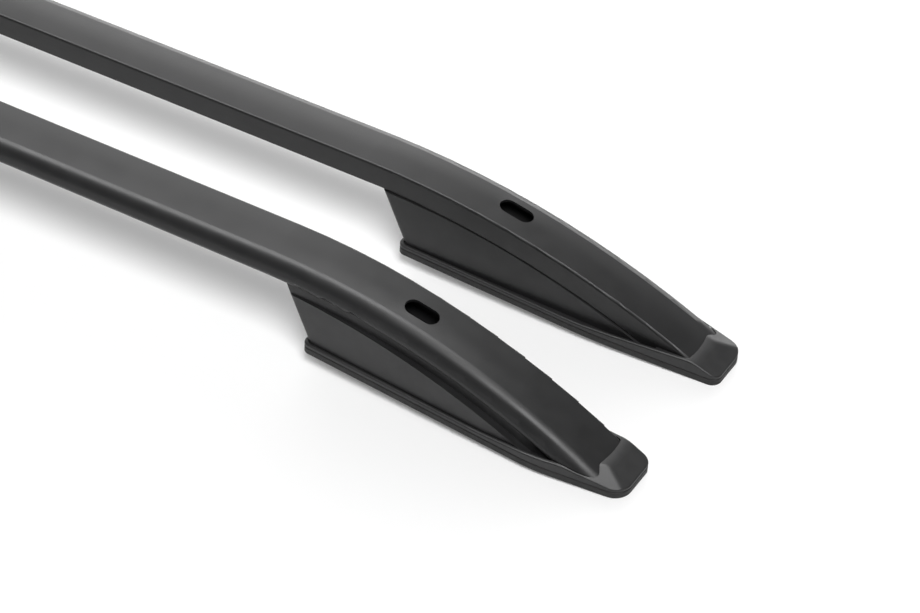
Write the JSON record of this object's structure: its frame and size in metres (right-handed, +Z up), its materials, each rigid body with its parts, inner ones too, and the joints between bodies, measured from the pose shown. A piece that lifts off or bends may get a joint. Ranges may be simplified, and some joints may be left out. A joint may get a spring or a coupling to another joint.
{
  "type": "roof side rail pair",
  "caption": "Pair of black roof side rails with bent hollow extrusions, access slots, moulded feet with nose caps, roof gaskets and hidden mounting brackets.",
  "frame": {"origin": "middle of the footprint on the floor that the pair stands on", "axes": "+X along the rails towards the noses in the picture, +Y from the near rail to the far rail, +Z up"},
  "size_m": [1.5006, 0.197, 0.0892],
  "materials": {
    "rail_powder_coat": "satin black powder coat",
    "cover_plastic": "fine grained black moulding",
    "shoe_plastic": "fine grained black moulding",
    "gasket_rubber": "matte black rubber",
    "bracket_aluminium": "as cast",
    "rivet_aluminium": "plain",
    "screw_steel": "zinc plated"
  },
  "bodies": {
    "root": {"left_rail": "rail_powder_coat", "left_front_foot_cover": "cover_plastic", "left_front_base_shoe": "shoe_plastic", "left_front_roof_gasket": "gasket_rubber", "left_front_mounting_bracket": "bracket_aluminium", "left_front_bracket_rivets": "rivet_aluminium", "left_front_cover_screws": "screw_steel", "left_rear_foot_cover": "cover_plastic", "left_rear_base_shoe": "shoe_plastic", "left_rear_roof_gasket": "gasket_rubber", "left_rear_mounting_bracket": "bracket_aluminium", "left_rear_bracket_rivets": "rivet_aluminium", "left_rear_cover_screws": "screw_steel", "right_rail": "rail_powder_coat", "right_front_foot_cover": "cover_plastic", "right_front_base_shoe": "shoe_plastic", "right_front_roof_gasket": "gasket_rubber", "right_front_mounting_bracket": "bracket_aluminium", "right_front_bracket_rivets": "rivet_aluminium", "right_front_cover_screws": "screw_steel", "right_rear_foot_cover": "cover_plastic", "right_rear_base_shoe": "shoe_plastic", "right_rear_roof_gasket": "gasket_rubber", "right_rear_mounting_bracket": "bracket_aluminium", "right_rear_bracket_rivets": "rivet_aluminium", "right_rear_cover_screws": "screw_steel"}
  },
  "joints": []
}
